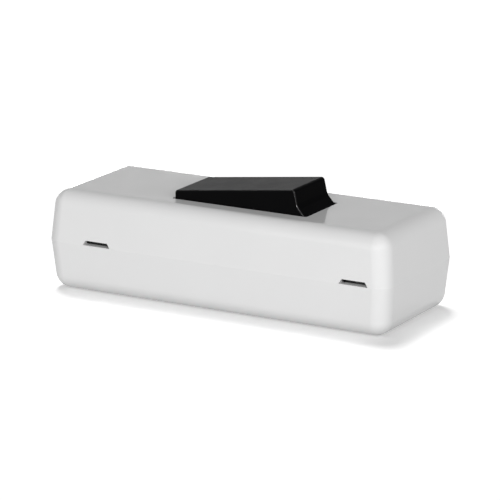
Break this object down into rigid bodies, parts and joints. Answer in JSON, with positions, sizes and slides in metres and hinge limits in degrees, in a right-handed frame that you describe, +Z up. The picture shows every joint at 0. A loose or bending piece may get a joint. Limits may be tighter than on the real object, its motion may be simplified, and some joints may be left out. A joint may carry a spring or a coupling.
{
  "type": "inline cord switch",
  "caption": "Two-pole inline cord switch: white two-shell snap housing with drafted sides and pry slots, black see-saw rocker with flared ends, terminals and cord grips inside.",
  "frame": {"origin": "middle of the housing's flat base", "axes": "+X along the cord, towards the rocker's raised end at rest; +Z up through the rocker; front long face towards -Y"},
  "size_m": [0.084, 0.0326, 0.0278],
  "materials": {
    "white_housing": "gloss moulded white",
    "black_rocker": "satin moulded black",
    "plunger_plastic": "natural moulded",
    "clamp_plastic": "moulded, off-white",
    "spring_steel": "drawn wire",
    "copper_alloy": "stamped",
    "brass_strip": "stamped",
    "contact_silver": "silver contact face",
    "plated_steel": "zinc plated"
  },
  "bodies": {
    "housing": {"upper_shell": "white_housing", "lower_shell": "white_housing", "earth_strip": "brass_strip", "terminal_screws": "plated_steel", "clamp_screws": "plated_steel", "cord_clamp_left": "clamp_plastic", "cord_clamp_right": "clamp_plastic", "terminal_cage_front_left": "plated_steel", "terminal_cage_front_right": "plated_steel", "terminal_cage_back_left": "plated_steel", "terminal_cage_back_right": "plated_steel", "terminal_cage_earth_left": "plated_steel", "terminal_cage_earth_right": "plated_steel", "fulcrum_terminal_front": "brass_strip", "contact_terminal_front": "brass_strip", "fixed_tip_front": "contact_silver", "fulcrum_terminal_back": "brass_strip", "contact_terminal_back": "brass_strip", "fixed_tip_back": "contact_silver"},
    "rocker_body": {"rocker": "black_rocker", "plunger_spring_front": "spring_steel", "plunger_spring_back": "spring_steel"},
    "plunger_front_body": {"plunger_front": "plunger_plastic"},
    "plunger_back_body": {"plunger_back": "plunger_plastic"},
    "blade_front_body": {"contact_blade_front": "copper_alloy", "moving_tip_front": "contact_silver"},
    "blade_back_body": {"contact_blade_back": "copper_alloy", "moving_tip_back": "contact_silver"}
  },
  "joints": [
    {"name": "rocker_pivot", "type": "hinge", "parent": "housing", "child": "rocker_body", "pos_m": [0.0027, -0.002, 0.01565], "axis": [0, 1, 0], "range_deg": [0, 14]},
    {"name": "blade_front_pivot", "type": "hinge", "parent": "housing", "child": "blade_front_body", "pos_m": [0.0027, -0.0052, 0.007], "axis": [0, 1, 0], "range_deg": [-22.01, 0]},
    {"name": "plunger_front_slide", "type": "slide", "parent": "rocker_body", "child": "plunger_front_body", "axis": [-0.1219, 0, 0.9925], "range_m": [0, 0.0008], "stiffness_N_per_m": 400, "deforming": ["plunger_spring_front"]},
    {"name": "blade_back_pivot", "type": "hinge", "parent": "housing", "child": "blade_back_body", "pos_m": [0.0027, 0.0012, 0.007], "axis": [0, 1, 0], "range_deg": [-22.01, 0]},
    {"name": "plunger_back_slide", "type": "slide", "parent": "rocker_body", "child": "plunger_back_body", "axis": [-0.1219, 0, 0.9925], "range_m": [0, 0.0008], "stiffness_N_per_m": 400, "deforming": ["plunger_spring_back"]}
  ],
  "couplings": [
    {"joint": "blade_front_pivot", "follows": "rocker_pivot", "ratio": -1.5714},
    {"joint": "blade_back_pivot", "follows": "rocker_pivot", "ratio": -1.5714}
  ]
}
